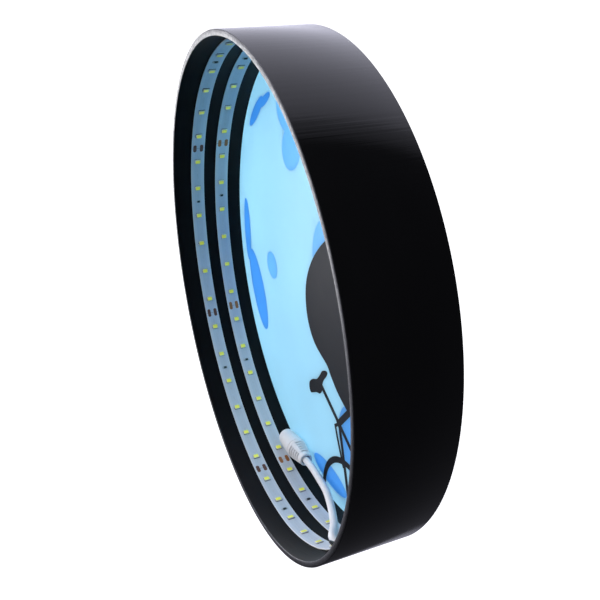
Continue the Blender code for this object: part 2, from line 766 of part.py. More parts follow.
def add_jack_contacts(frame):
    """The contact that presses on the plug's barrel: a bowed leaf on a fixed terminal."""
    half = SPRING_THICKNESS / 2
    bow = [(0.0, 0.0), (0.0, 2.0), (-0.2, 4.5), (-0.2, 5.6), (0.0, 7.6)]
    outline = [(x * MM + half, z * MM) for x, z in bow]
    outline += [(x * MM - half, z * MM) for x, z in reversed(bow)]
    curve = flat_curve("jack_spring_contact", [outline], SPRING_WIDTH / 2)
    leaf = add_cutter("jack_spring_contact", curve)
    leaf.rotation_euler = (math.radians(90.0), 0.0, 0.0)
    spring = add_part("jack_spring_contact", baked(leaf), "contact")
    spring.parent = frame
    spring.location = (SPRING_PIVOT_RADIUS, 0.0, SPRING_ROOT)
    low = (SPRING_PIVOT_RADIUS - 0.3 * MM, -SPRING_WIDTH / 2, -13.6 * MM)
    high = (SPRING_PIVOT_RADIUS + 0.3 * MM, SPRING_WIDTH / 2, TERMINAL_TOP)
    terminal = add_part("jack_terminal", box_mesh("jack_terminal", low, high), "contact")
    terminal.parent = frame


def add_jack():
    frame = jack_frame()
    add_jack_shell(frame)
    add_jack_socket(frame)
    add_jack_pin(frame)
    add_jack_contacts(frame)


add_housing_ring()
add_face()
add_strip("rear", REAR_STRIP_Y, True)
add_strip("front", FRONT_STRIP_Y, False)
add_wiring()
add_jack()
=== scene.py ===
"""The light-box sign's looks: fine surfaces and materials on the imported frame, a camera and a studio.

Metres, in the CAD's frame: the ring's axis is Y, its open back is at +Y and +Z is up in the picture.
"""

import math

import bmesh
import bpy
from mathutils import Matrix, Vector
from mathutils.geometry import delaunay_2d_cdt


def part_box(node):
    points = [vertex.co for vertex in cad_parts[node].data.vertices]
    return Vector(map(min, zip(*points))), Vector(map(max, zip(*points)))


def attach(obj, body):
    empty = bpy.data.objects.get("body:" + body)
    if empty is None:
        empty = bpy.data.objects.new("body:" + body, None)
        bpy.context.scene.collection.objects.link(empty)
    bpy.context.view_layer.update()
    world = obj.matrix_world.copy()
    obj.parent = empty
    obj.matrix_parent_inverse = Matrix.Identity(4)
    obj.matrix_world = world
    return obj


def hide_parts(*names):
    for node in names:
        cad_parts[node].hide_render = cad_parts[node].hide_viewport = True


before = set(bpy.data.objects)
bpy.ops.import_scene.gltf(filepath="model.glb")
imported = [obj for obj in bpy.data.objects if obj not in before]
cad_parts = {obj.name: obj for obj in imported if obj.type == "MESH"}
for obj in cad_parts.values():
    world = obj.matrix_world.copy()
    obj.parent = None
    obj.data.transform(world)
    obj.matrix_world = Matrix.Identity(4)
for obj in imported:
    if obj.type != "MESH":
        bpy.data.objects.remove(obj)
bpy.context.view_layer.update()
MM = 0.001

# Sizes that follow the CAD, taken from its nodes' boxes where a box gives them.
RING_LOW, RING_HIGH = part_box("housing_ring")
REAR = RING_HIGH[1]
FRONT = RING_LOW[1]
RING_RADIUS = RING_HIGH[2]
WALL = 2.7 * MM
RING_BORE = RING_RADIUS - WALL
FACE_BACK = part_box("face_panel")[1][1]
REBATE_WALL = 1.2 * MM
REBATE_RADIUS = RING_RADIUS - REBATE_WALL
FACE_GAP = 0.05 * MM
PICTURE_RADIUS = 121.9 * MM
# The patches stand this far proud of the face, and the picture twice as far, so that no two sides coincide.
PROUD = 0.06 * MM

# LED strips: lengths along the wall, heights above it (low, high), and shifts of the strips' first ends.
SEGMENTS = 6
LEDS_PER_SEGMENT = 6
LED_PITCH = 18.52 * MM
SEGMENT_LENGTH = LEDS_PER_SEGMENT * LED_PITCH
STRIP_LENGTH = SEGMENTS * SEGMENT_LENGTH
STRIP_START = math.radians(-90.0)
REAR_SHIFT = -1.4 * MM
FRONT_SHIFT = 0.7 * MM
WRAP_RADIUS = 121.4 * MM
STRIP_WIDTH = 8.0 * MM
REAR_STRIP_Y = 7.0 * MM
FRONT_STRIP_Y = -8.15 * MM
STRIPS = {"rear": (REAR_STRIP_Y, True), "front": (FRONT_STRIP_Y, False)}
TAPE = (0.05 * MM, 0.42 * MM)
BOARD = (0.42 * MM, 0.72 * MM)
PAD_TOP = 0.77 * MM
TRACK = (0.6 * MM, 0.745 * MM)
PACKAGE = (0.72 * MM, 1.5 * MM)
END_LIFT = 1.0 * MM
END_LIFT_LENGTH = 26.0 * MM
END_DRIFT = -2.0 * MM
END_DRIFT_LENGTH = 62.0 * MM
PAD_S = 2.5 * MM
PAD_SPREAD = 2.0 * MM

# Half sizes along and across a strip.
# The dark base under each LED, a little wider than its package, is painted shade: a shadow line round the
# package's foot.
LED_SHADE_BASE = (1.42 * MM, 1.8 * MM)
LED_BODY = (1.38 * MM, 1.75 * MM)
LED_WINDOW = (1.15 * MM, 1.42 * MM)
LED_TIN = (0.85 * MM, 0.28 * MM)
RESISTOR_BODY = (0.62 * MM, 0.98 * MM)
RESISTOR_CAP = (0.64 * MM, 0.26 * MM)
RESISTOR_FOOT = (0.6 * MM, 0.22 * MM)

# A solder joint's profile, as radius and height in millimetres.
SOLDER_PROFILE = [
    (0.0, 1.3), (0.35, 1.25), (0.65, 1.05), (0.85, 0.75),
    (1.0, 0.4), (1.25, 0.12), (1.32, 0.0), (0.0, 0.0),
]
JUMPER_RADIUS = 0.55 * MM
CORE_RADIUS = 0.6 * MM

# The lead's route and the jack's place, as in the CAD, in millimetres. JACKET_END replaces the first point.
LEAD_ROUTE = [
    (14.6, 3.0, -117.2), (19.2, 0.1, -116.2), (25.6, -3.7, -113.6), (31.9, -6.4, -110.4),
    (38.8, -9.2, -106.0), (44.2, -11.1, -102.1), (51.2, -13.1, -96.8), (59.4, -14.0, -90.3),
    (67.2, -14.4, -83.7), (72.9, -14.25, -79.2), (76.1, -14.2, -76.8),
]
JACKET_END = [(11.9, 1.8, -119.5), (14.6, 2.0, -117.7)]
LEAD_DIAMETER = 4.2 * MM
LEAD_POINT_COUNT = 44
JACK_MOUTH = (99.5, -14.1, -60.4)
JACK_TAIL = (74.1, -14.2, -78.2)

# The slots in the jack's tail: rows along it, in millimetres, and four to a row, in degrees.
SLOT_ROWS = 5
SLOT_START = -18.9
SLOT_PITCH = 2.0
SLOT_DEPTH = 2.0
SLOT_SPACING = 90.0
SLOT_TURN = 15.0
SLOT_REACH = 33.0

# Crater ellipses, as in the CAD: centre x, centre z, half length, half width, tilt.
DEEP_CRATERS = {
    "crater_top": [(11.5, 110.8, 15.0, 3.1, 2.5), (-5.0, 107.3, 9.5, 2.1, 12.0)],
    "crater_right_limb": [(83.0, 70.0, 20.5, 5.4, 131.5), (94.0, 33.0, 26.0, 11.3, 105.6)],
    "crater_rear_wheel": [(59.5, -89.5, 21.0, 6.5, 36.9)],
    "crater_left_limb": [(-97.0, 30.0, 24.0, 9.5, 75.0)],
    "crater_lower_left": [(-101.0, -34.0, 15.0, 7.0, 108.0)],
    "crater_front_wheel": [(-74.0, -84.0, 14.0, 6.0, -42.0)],
}
LIGHT_CRATERS = {
    "crater_small": [(56.5, 35.0, 8.0, 8.0, 0.0)],
    "crater_upper": [(-20.0, 69.5, 13.5, 10.3, 0.0), (-29.0, 88.0, 13.0, 12.5, 0.0)],
    "crater_tree": [(-27.0, 0.5, 25.0, 25.0, 0.0)],
    "crater_left_small": [(-66.0, 49.0, 7.5, 7.0, 0.0)],
    "crater_left_round": [(-84.0, -4.0, 10.0, 9.0, 0.0)],
}
MID_CRATERS = {"crater_frame": [(8.0, -82.0, 22.5, 22.5, 0.0)]}
FACE_PATCHES = [
    (DEEP_CRATERS, "deep", "crater_deep"),
    (LIGHT_CRATERS, "light", "crater_light"),
    (MID_CRATERS, "mid", "crater_light"),
]

# The dark picture's route points, as in the CAD, x and z in millimetres.
TREE = [
    (25.5, -15.0), (24.3, -23.0), (20.5, -30.0), (16.5, -36.5), (15.5, -43.0), (13.0, -52.0),
    (8.5, -61.0), (3.0, -70.0), (1.0, -90.0), (4.0, -108.0), (14.0, -126.0), (-36.0, -126.0),
    (-26.0, -108.0), (-23.0, -90.0), (-25.0, -70.0), (-29.0, -58.0), (-36.0, -47.0), (-46.0, -38.0),
    (-57.0, -31.0), (-64.0, -21.0), (-64.5, -9.0), (-58.0, 2.5), (-46.0, 10.5), (-32.0, 14.5),
    (-18.0, 15.5), (-4.0, 14.0), (8.0, 10.0), (17.0, 3.5), (23.5, -6.0),
]
SADDLE = [
    (52.0, -41.0), (49.0, -38.2), (43.0, -38.0), (37.0, -39.3), (31.0, -38.6), (26.0, -37.5),
    (21.5, -38.3), (19.3, -39.9), (22.0, -41.2), (28.0, -42.3), (32.0, -44.2), (34.5, -46.6),
    (38.5, -47.2), (43.0, -45.5), (48.0, -44.6), (51.6, -43.7),
]
REAR_WHEEL = (47.0, -118.7)
FRONT_WHEEL = (-66.0, -118.7)
WHEEL_RADIUS = 36.15
TYRE_WIDTH = 3.5
CRANK_AXLE = (4.3, -112.0)
SEAT_JOINT = (24.6, -66.2)
HEAD_TOP = (-36.0, -57.3)
HEAD_FOOT = (-40.0, -69.0)
STEM_TOP = (-33.5, -48.5)
BARS = [
    ((33.6, -42.5), CRANK_AXLE, 3.1),
    (SEAT_JOINT, HEAD_TOP, 3.7),
    (HEAD_TOP, HEAD_FOOT, 4.0),
    (HEAD_FOOT, CRANK_AXLE, 3.2),
    ((23.4, -66.8), (49.0, -120.0), 2.9),
    (HEAD_FOOT, (-54.0, -112.0), 2.6),
    (HEAD_TOP, STEM_TOP, 2.6),
    (STEM_TOP, (-43.0, -46.0), 2.6),
    ((-42.0, -45.6), (-47.5, -49.0), 2.6),
    (SEAT_JOINT, (29.6, -66.3), 1.8),
    ((29.6, -66.3), (31.6, -72.5), 1.9),
    ((31.6, -72.5), (35.2, -87.5), 2.0),
    (CRANK_AXLE, (-8.0, -104.5), 2.6),
    ((-12.0, -104.0), (-4.5, -104.5), 2.6),
]
CHAINRING_RADIUS = 8.0


def ease(share):
    """A smooth step from 0 to 1."""
    share = min(max(share, 0.0), 1.0)
    return share * share * (3 - 2 * share)


# Camera ----------------------------------------------------------------------

LENS = 42.143
CAMERA_PLACE = Vector((-0.31912, 0.11018, -0.08667))
CAMERA_RIGHT = Vector((-0.27678, -0.92188, -0.27118))
CAMERA_UP = Vector((-0.31042, -0.18130, 0.93315))
VIEW = Vector((0.90941, -0.34245, 0.23599))


def add_camera():
    """Behind the ring and to its left, low down, tilted up and rolled."""
    data = bpy.data.cameras.new("camera")
    data.sensor_width = 36.0
    data.lens = LENS
    data.clip_start = 0.01
    data.clip_end = 50.0
    camera = bpy.data.objects.new("camera", data)
    bpy.context.scene.collection.objects.link(camera)
    turn = Matrix((CAMERA_RIGHT, CAMERA_UP, -VIEW)).transposed().to_4x4()
    camera.matrix_world = Matrix.Translation(CAMERA_PLACE) @ turn
    bpy.context.scene.camera = camera


add_camera()


# Materials -------------------------------------------------------------------


class Shader:
    """A material's node tree, with short ways to add its nodes."""

    def __init__(self, name):
        self.material = bpy.data.materials.new(name)
        self.material.use_nodes = True
        self.tree = self.material.node_tree
        self.main = self.tree.nodes["Principled BSDF"]
        self.out = self.tree.nodes["Material Output"]

    def node(self, kind, **inputs):
        made = self.tree.nodes.new(kind)
        for name, value in inputs.items():
            self.put(made, name.replace("_", " "), value)
        return made

    def put(self, node, name, value):
        socket = node.inputs[name]
        if isinstance(value, bpy.types.NodeSocket):
            self.tree.links.new(value, socket)
        else:
            socket.default_value = value

    def coordinates(self, scale=(1, 1, 1)):
        place = self.node("ShaderNodeTexCoord")
        mapped = self.node("ShaderNodeMapping")
        self.put(mapped, "Vector", place.outputs["Object"])
        self.put(mapped, "Scale", scale)
        return mapped.outputs["Vector"]

    def round_coordinates(self, along, around):
        """Coordinates round the Y axis: the angle times around, and Y times along."""
        place = self.node("ShaderNodeTexCoord")
        split = self.node("ShaderNodeSeparateXYZ")
        self.put(split, "Vector", place.outputs["Object"])
        angle = self.math("ARCTAN2", split.outputs["Z"], split.outputs["X"])
        made = self.node("ShaderNodeCombineXYZ")
        self.put(made, "X", self.math("MULTIPLY", angle, around))
        self.put(made, "Y", self.math("MULTIPLY", split.outputs["Y"], along))
        return made.outputs["Vector"]

    def math(self, operation, first, second=None):
        made = self.node("ShaderNodeMath")
        made.operation = operation
        for index, value in enumerate((first, second)):
            if isinstance(value, bpy.types.NodeSocket):
                self.tree.links.new(value, made.inputs[index])
            elif value is not None:
                made.inputs[index].default_value = value
        return made.outputs["Value"]

    def noise(self, vector, scale, detail=4.0, rough=0.55):
        made = self.node("ShaderNodeTexNoise", Vector=vector, Scale=scale, Detail=detail, Roughness=rough)
        return made.outputs["Fac"]

    def ramp(self, factor, stops):
        made = self.node("ShaderNodeValToRGB")
        self.put(made, "Fac", factor)
        ramp = made.color_ramp
        while len(ramp.elements) < len(stops):
            ramp.elements.new(1.0)
        for element, (place, colour) in zip(ramp.elements, stops):
            element.position = place
            element.color = (*colour, 1.0)
        return made.outputs["Color"]

    def span(self, factor, low, high):
        made = self.node("ShaderNodeMapRange", Value=factor)
        self.put(made, "To Min", low)
        self.put(made, "To Max", high)
        return made.outputs["Result"]

    def bump(self, height, strength, distance, under=None):
        made = self.node("ShaderNodeBump", Height=height, Strength=strength, Distance=distance)
        if under is not None:
            self.put(made, "Normal", under)
        return made.outputs["Normal"]

    def mix(self, factor, first, second):
        made = self.tree.nodes.new("ShaderNodeMix")
        made.data_type = "RGBA"
        for index, value in ((0, factor), (6, first), (7, second)):
            socket = made.inputs[index]
            if isinstance(value, bpy.types.NodeSocket):
                self.tree.links.new(value, socket)
            elif index:
                socket.default_value = (*value, 1.0)
            else:
                socket.default_value = value
        return made.outputs[2]


def printed_black(name):
    """Black printed plastic. Its fine layers run round the wall, so its gloss spreads along Y."""
    shader = Shader(name)
    layers = shader.round_coordinates(5200.0, 3.0)
    blotch = shader.round_coordinates(30.0, 2.0)
    fine = shader.noise(layers, 1.0, 2.0)
    soft = shader.noise(blotch, 1.6, 3.0)
    colour = shader.ramp(soft, [(0.3, (0.003, 0.0033, 0.0036)), (0.75, (0.0048, 0.005, 0.0055))])
    shader.put(shader.main, "Base Color", colour)
    shader.put(shader.main, "Roughness", shader.span(fine, 0.08, 0.11))
    shader.main.inputs["Anisotropic"].default_value = 0.93
    shader.main.inputs["Anisotropic Rotation"].default_value = 0.25
    shader.main.inputs["Specular IOR Level"].default_value = 0.5
    tangent = shader.node("ShaderNodeTangent")
    tangent.direction_type = "RADIAL"
    tangent.axis = "Y"
    shader.put(shader.main, "Tangent", tangent.outputs["Tangent"])
    streaks = shader.noise(shader.round_coordinates(5.0, 70.0), 1.0, 3.0)
    layered = shader.bump(fine, 0.25, 0.00004)
    shader.put(shader.main, "Normal", shader.bump(streaks, 0.07, 0.0006, layered))
    return shader.material


def bore_black(name):
    """The wall's inner side, as printed: rougher than the outside, with the layers round it."""
    shader = Shader(name)
    layers = shader.round_coordinates(2600.0, 6.0)
    fine = shader.noise(layers, 1.0, 2.0)
    soft = shader.noise(shader.coordinates(), 40.0, 3.0)
    colour = shader.ramp(soft, [(0.3, (0.0035, 0.0038, 0.0046)), (0.7, (0.0055, 0.0059, 0.0072))])
    shader.put(shader.main, "Base Color", colour)
    shader.put(shader.main, "Roughness", shader.span(fine, 0.45, 0.58))
    shader.main.inputs["Specular IOR Level"].default_value = 0.14
    shader.put(shader.main, "Normal", shader.bump(fine, 0.35, 0.00008))
    return shader.material


def rim_black(name):
    """The ring's rear edge: the printer's first layer, grainy, and paler where it catches light."""
    shader = Shader(name)
    grain = shader.coordinates()
    speck = shader.noise(grain, 900.0, 4.0, 0.7)
    colour = shader.ramp(speck, [(0.35, (0.008, 0.008, 0.009)), (0.7, (0.022, 0.022, 0.026))])
    shader.put(shader.main, "Base Color", colour)
    shader.put(shader.main, "Roughness", shader.span(speck, 0.1, 0.78))
    shader.put(shader.main, "Normal", shader.bump(speck, 0.7, 0.0003))
    shader.main.inputs["Specular IOR Level"].default_value = 1.0
    return shader.material


def face_plastic(name, colour, glow=0.6):
    """Translucent printed plastic, with the fine slanting lines of its extrusion."""
    shader = Shader(name)
    lines = shader.coordinates((1.0, 1.0, 1.0))
    turned = shader.node("ShaderNodeMapping", Vector=lines)
    shader.put(turned, "Rotation", (0.0, math.radians(45.0), 0.0))
    wave = shader.node("ShaderNodeTexWave", Vector=turned.outputs["Vector"], Scale=380.0, Distortion=0.6)
    cloud = shader.noise(lines, 14.0, 3.0)
    dark = tuple(channel * 0.94 for channel in colour)
    tint = shader.ramp(cloud, [(0.3, dark), (0.7, colour)])
    shader.put(shader.main, "Base Color", tint)
    shader.put(shader.main, "Roughness", shader.span(cloud, 0.42, 0.5))
    shader.put(shader.main, "Normal", shader.bump(wave.outputs["Fac"], 0.12, 0.00006))
    shader.main.inputs["Specular IOR Level"].default_value = 0.35
    through = shader.node("ShaderNodeBsdfTranslucent", Color=tint)
    both = shader.node("ShaderNodeMixShader")
    both.inputs["Fac"].default_value = glow
    shader.tree.links.new(shader.main.outputs["BSDF"], both.inputs[1])
    shader.tree.links.new(through.outputs["BSDF"], both.inputs[2])
    shader.tree.links.new(both.outputs["Shader"], shader.out.inputs["Surface"])
    return shader.material


def picture_black(name):
    """The tree's and the bicycle's dark plastic, satin and slightly blue."""
    shader = Shader(name)
    place = shader.coordinates()
    cloud = shader.noise(place, 60.0, 4.0)
    fine = shader.noise(place, 1400.0, 2.0)
    colour = shader.ramp(cloud, [(0.3, (0.005, 0.0055, 0.007)), (0.7, (0.009, 0.010, 0.0125))])
    shader.put(shader.main, "Base Color", colour)
    shader.put(shader.main, "Roughness", shader.span(cloud, 0.5, 0.62))
    shader.main.inputs["Specular IOR Level"].default_value = 0.29
    shader.main.inputs["Specular Tint"].default_value = (0.86, 0.9, 1.0, 1.0)
    shader.put(shader.main, "Normal", shader.bump(fine, 0.2, 0.00005))
    return shader.material


def board_white(name):
    """White solder mask over copper: the buried tracks show as slightly paler bands along the board."""
    shader = Shader(name)
    place = shader.node("ShaderNodeTexCoord")
    split = shader.node("ShaderNodeSeparateXYZ", Vector=place.outputs["UV"])
    across = split.outputs["Y"]
    away = shader.math("ABSOLUTE", shader.math("SUBTRACT", across, 0.5))
    bands = shader.ramp(
        away,
        [
            (0.0, (0.60, 0.66, 0.74)),
            (0.24, (0.60, 0.66, 0.74)),
            (0.27, (0.66, 0.72, 0.79)),
            (0.44, (0.66, 0.72, 0.79)),
            (0.47, (0.80, 0.84, 0.88)),
        ],
    )
    cloud = shader.noise(shader.coordinates(), 130.0, 3.0)
    colour = shader.mix(shader.span(cloud, 0.0, 0.16), bands, (0.46, 0.53, 0.62))
    shader.put(shader.main, "Base Color", colour)
    shader.put(shader.main, "Roughness", shader.span(cloud, 0.34, 0.46))
    shader.put(shader.main, "Normal", shader.bump(away, 0.3, 0.0002))
    return shader.material


def simple(name, colour, roughness, metallic=0.0, scale=600.0, depth=0.00003, vary=0.12):
    """A plain moulded or plated surface with a little grain in its colour, gloss and relief."""
    shader = Shader(name)
    place = shader.coordinates()
    grain = shader.noise(place, scale, 4.0)
    dark = tuple(channel * (1 - vary) for channel in colour)
    shader.put(shader.main, "Base Color", shader.ramp(grain, [(0.3, dark), (0.7, colour)]))
    shader.put(shader.main, "Roughness", shader.span(grain, roughness * 0.85, min(1.0, roughness * 1.15)))
    shader.put(shader.main, "Normal", shader.bump(grain, 0.3, depth))
    shader.main.inputs["Metallic"].default_value = metallic
    return shader.material


def soft_white(name, colour=(0.89, 0.89, 0.91)):
    """White vinyl: satin, very slightly see-through at its edges."""
    shader = Shader(name)
    grain = shader.noise(shader.coordinates(), 420.0, 4.0)
    stain = shader.noise(shader.coordinates(), 70.0, 3.0)
    dark = tuple(channel * 0.93 for channel in colour)
    shader.put(shader.main, "Base Color", shader.ramp(stain, [(0.35, dark), (0.65, colour)]))
    shader.put(shader.main, "Roughness", shader.span(grain, 0.3, 0.42))
    shader.put(shader.main, "Normal", shader.bump(grain, 0.15, 0.00004))
    shader.main.inputs["Subsurface Weight"].default_value = 0.15
    shader.main.inputs["Subsurface Radius"].default_value = (0.0004, 0.0004, 0.0004)
    return shader.material


def phosphor(name):
    """The LED's yellow-green gel, with a little grain in its tone."""
    shader = Shader(name)
    grain = shader.noise(shader.coordinates(), 2500.0, 3.0)
    shader.put(
        shader.main, "Base Color", shader.ramp(grain, [(0.3, (0.72, 0.74, 0.07)), (0.7, (0.88, 0.88, 0.14))])
    )
    shader.put(shader.main, "Roughness", shader.span(grain, 0.25, 0.4))
    shader.main.inputs["Coat Weight"].default_value = 0.5
    shader.main.inputs["Coat Roughness"].default_value = 0.12
    # The faint yellow emission is a painted glow: the LEDs are not lit.
    shader.main.inputs["Emission Color"].default_value = (1.0, 1.0, 0.02, 1.0)
    shader.main.inputs["Emission Strength"].default_value = 0.2
    return shader.material


LOOKS = {
    "wall": printed_black("wall_printed_black"),
    "rim": rim_black("rim_printed_black"),
    "bore": bore_black("bore_printed_black"),
    "face": face_plastic("face_light_blue", (0.56, 0.83, 0.95)),
    "deep": face_plastic("crater_deep_blue", (0.2, 0.55, 0.93)),
    "mid": face_plastic("crater_mid_blue", (0.23, 0.58, 0.93)),
    "light": face_plastic("crater_light_blue", (0.34, 0.69, 0.975)),
    "picture": picture_black("picture_black"),
    "board": board_white("board_white"),
    "tape": simple("tape_foam", (0.58, 0.58, 0.55), 0.75, scale=900.0, depth=0.0001),
    "package": simple("led_package_white", (0.74, 0.76, 0.76), 0.38, scale=1500.0),
    "phosphor": phosphor("led_phosphor"),
    # A near-black for the LEDs' bases: painted shade round each package.
    "foot": simple("led_base_painted_shade", (0.05, 0.055, 0.06), 0.45, scale=1500.0),
    "track": simple("board_track", (0.62, 0.68, 0.75), 0.4, scale=500.0),
    "resistor": simple("resistor_black", (0.012, 0.013, 0.014), 0.32, scale=2500.0, vary=0.3),
    "tin": simple("tinned_end", (0.66, 0.67, 0.68), 0.28, 1.0, scale=1500.0),
    "copper": simple("pad_copper", (0.50, 0.19, 0.06), 0.4, 0.3, scale=900.0, vary=0.35),
    # A darker brown, for the rear strip's pads and for the cut lines.
    "pad_dark": simple("pad_dark_brown", (0.19, 0.07, 0.045), 0.42, 0.3, scale=900.0, vary=0.4),
    "solder": simple("solder", (0.60, 0.61, 0.62), 0.22, 1.0, scale=900.0, depth=0.0001, vary=0.2),
    "red": simple("wire_red", (0.42, 0.02, 0.02), 0.35, scale=700.0),
    "black": simple("wire_black", (0.015, 0.015, 0.016), 0.35, scale=700.0, vary=0.3),
    "vinyl": soft_white("vinyl_white"),
    # A darker grey for the floors of the jack's slots: painted shade.
    "slot": simple("vinyl_in_shade", (0.36, 0.36, 0.38), 0.6, scale=700.0),
    "plated": simple("contact_plated", (0.74, 0.72, 0.66), 0.22, 1.0, scale=1200.0),
}


# Building helpers ------------------------------------------------------------


def add_piece(name, data, looks, nodes=(), body="sign"):
    """A piece that stands for the given CAD nodes and rides on a body."""
    obj = bpy.data.objects.new(name, data)
    bpy.context.scene.collection.objects.link(obj)
    for look in looks:
        data.materials.append(LOOKS[look])
    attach(obj, body)
    if nodes:
        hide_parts(*nodes)
    return obj


def finish_mesh(work, name, angle=35.0):
    """The finished mesh, smooth but for edges sharper than the angle in degrees."""
    bmesh.ops.recalc_face_normals(work, faces=work.faces)
    mesh = bpy.data.meshes.new(name)
    work.to_mesh(mesh)
    work.free()
    mesh.shade_smooth()
    mesh.set_sharp_from_angle(angle=math.radians(angle))
    return mesh


def lathe(work, profile, steps, close=True, looks=None, turn=None):
    """Turns a profile of (radius, height) round Z, into work. looks has a material for each of its runs."""
    rings = []
    for radius, height in profile:
        if radius < 1e-7:
            rings.append([work.verts.new((0.0, 0.0, height))])
            continue
        ring = []
        for i in range(steps):
            angle = 2 * math.pi * i / steps
            ring.append(work.verts.new((radius * math.cos(angle), radius * math.sin(angle), height)))
        rings.append(ring)
    pairs = list(zip(rings, rings[1:] + rings[:1]))
    if not close:
        pairs = pairs[:-1]
    for number, (first, second) in enumerate(pairs):
        if len(first) == 1 and len(second) == 1:
            continue
        for i in range(steps):
            j = (i + 1) % steps
            near = [first[i % len(first)], first[j % len(first)]]
            far = [second[j % len(second)], second[i % len(second)]]
            face = work.faces.new(list(dict.fromkeys(near + far)))
            face.material_index = looks[number] if looks else 0
    if turn is not None:
        for ring in rings:
            for vertex in ring:
                vertex.co = turn @ vertex.co


def curve_point(before, start, end, after, t):
    """The point that is t of the way from start to end on a Catmull-Rom curve."""
    point = start * 2 + (end - before) * t
    point += (before * 2 - start * 5 + end * 4 - after) * t**2
    point += (start * 3 - before - end * 3 + after) * t**3
    return point / 2


def smooth_loop(points, per_span):
    """A closed Catmull-Rom curve through given points."""
    count = len(points)
    loop = []
    for i in range(count):
        before, start, end, after = (Vector(points[(i + k) % count]) for k in (-1, 0, 1, 2))
        for step in range(per_span):
            loop.append(tuple(curve_point(before, start, end, after, step / per_span)))
    return loop


def smooth_route(points, count):
    """Evenly spaced points on a Catmull-Rom curve through an open route in millimetres."""
    route = [Vector(point) * MM for point in points]
    padded = [route[0] * 2 - route[1]] + route + [route[-1] * 2 - route[-2]]
    fine = []
    for before, start, end, after in zip(padded, padded[1:], padded[2:], padded[3:]):
        fine += [curve_point(before, start, end, after, step / 20) for step in range(20)]
    fine.append(route[-1])
    reach = [0.0]
    for start, end in zip(fine, fine[1:]):
        reach.append(reach[-1] + (end - start).length)
    picked = []
    for i in range(count):
        place = reach[-1] * i / (count - 1)
        k = next(j for j in range(1, len(reach)) if reach[j] >= place - 1e-9)
        share = (place - reach[k - 1]) / (reach[k] - reach[k - 1])
        picked.append(fine[k - 1].lerp(fine[k], share))
    return picked


def wire(name, points, radius):
    """A round line with closed ends through the points."""
    curve = bpy.data.curves.new(name, "CURVE")
    curve.dimensions = "3D"
    curve.bevel_depth = radius
    curve.bevel_resolution = 6
    curve.use_fill_caps = True
    spline = curve.splines.new("POLY")
    spline.points.add(len(points) - 1)
    for point, place in zip(spline.points, points):
        point.co = (*place, 1.0)
    spline.use_smooth = True
    return curve


def tube(name, points, radius, look, nodes):
    """A wire in one material, as a piece that stands for the nodes."""
    return add_piece(name, wire(name, points, radius), [look], nodes)


# Lead ------------------------------------------------------------------------


def add_lead():
    """The lead. Its cut end is nipped where the cores come out, and a little thicker just past there."""
    points = smooth_route(JACKET_END + LEAD_ROUTE[1:], LEAD_POINT_COUNT)
    curve = wire("lead_line", points, LEAD_DIAMETER / 2)
    reach = 0.0
    for i, point in enumerate(curve.splines[0].points):
        reach += (points[i] - points[max(i - 1, 0)]).length / MM
        nip = 0.62 + 0.38 * ease(reach / 3.0)
        swell = 0.14 * ease((reach - 2.0) / 4.0) * ease((21.0 - reach) / 3.0)
        point.radius = nip * (0.95 + swell)
    guide = bpy.data.objects.new("lead_line", curve)
    work = bmesh.new()
    work.from_mesh(guide.to_mesh())
    bmesh.ops.remove_doubles(work, verts=work.verts, dist=0.001 * MM)
    bpy.data.objects.remove(guide)
    mesh = finish_mesh(work, "lead", 60.0)
    return add_piece("lead", mesh, ["vinyl"], ["lead_jacket"]), points


LEAD, LEAD_POINTS = add_lead()


# The ring --------------------------------------------------------------------


def add_ring():
    """The wall, its rebate and its slightly rounded edges."""
    shoulder = FACE_BACK + 0.1 * MM
    soft = 0.35 * MM
    round_share = 0.3 * soft
    profile = [
        (RING_RADIUS - soft, REAR),
        (RING_RADIUS - round_share, REAR - round_share),
        (RING_RADIUS, REAR - soft),
        (RING_RADIUS, FRONT + soft),
        (RING_RADIUS - round_share, FRONT + round_share),
        (RING_RADIUS - soft, FRONT),
        (REBATE_RADIUS, FRONT),
        (REBATE_RADIUS, shoulder),
        (RING_BORE, shoulder),
        (RING_BORE, REAR - soft),
        (RING_BORE + round_share, REAR - round_share),
        (RING_BORE + soft, REAR),
    ]
    wall, rim, bore = 0, 1, 2
    looks = [rim, rim, wall, wall, wall, rim, bore, bore, bore, rim, rim, rim]
    work = bmesh.new()
    lathe(work, profile, 288, looks=looks, turn=Matrix.Rotation(math.radians(-90.0), 4, "X"))
    mesh = finish_mesh(work, "ring", 25.0)
    add_piece("ring", mesh, ["wall", "rim", "bore"], ["housing_ring"])


add_ring()


# The face --------------------------------------------------------------------


def turned_left(loop):
    """The loop, reversed where needed so that it runs anticlockwise."""
    area = sum(a[0] * b[1] - b[0] * a[1] for a, b in zip(loop, loop[1:] + loop[:1]))
    return loop if area > 0 else loop[::-1]


